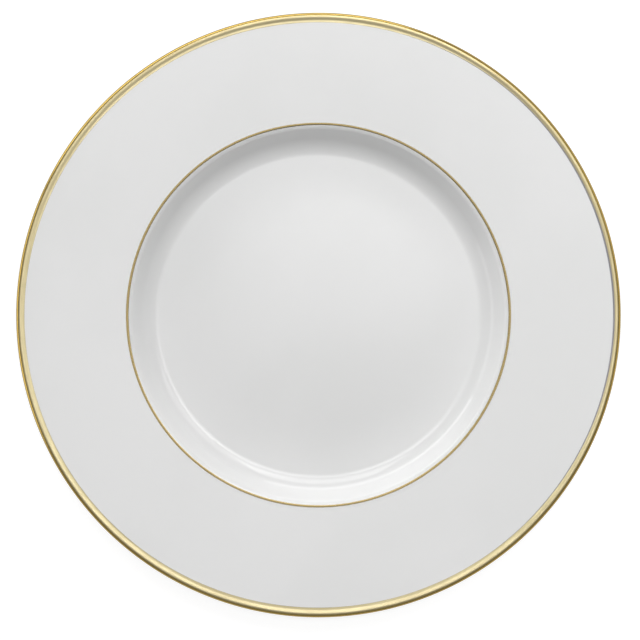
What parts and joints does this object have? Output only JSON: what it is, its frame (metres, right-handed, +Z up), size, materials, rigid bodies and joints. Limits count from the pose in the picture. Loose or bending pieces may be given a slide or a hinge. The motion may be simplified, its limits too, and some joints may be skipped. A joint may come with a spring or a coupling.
{
  "type": "dinner plate",
  "caption": "Round porcelain dinner plate with a wide flat rim, a sunk well, a foot ring, a gilded rolled lip and a thin gold line round the well.",
  "frame": {"origin": "centre of the foot ring's resting plane", "axes": "+Z up along the plate's axis of revolution, from the foot ring to the face; X and Y are alike, because the plate is round"},
  "size_m": [0.27, 0.27, 0.0208],
  "materials": {
    "bare_porcelain": "matte",
    "white_glaze": "gloss",
    "burnished_gold": "polished"
  },
  "bodies": {
    "root": {"porcelain_body": "bare_porcelain", "glaze_coat": "white_glaze", "base_glaze": "white_glaze", "rim_gold_band": "burnished_gold", "verge_gold_line": "burnished_gold"}
  },
  "joints": []
}
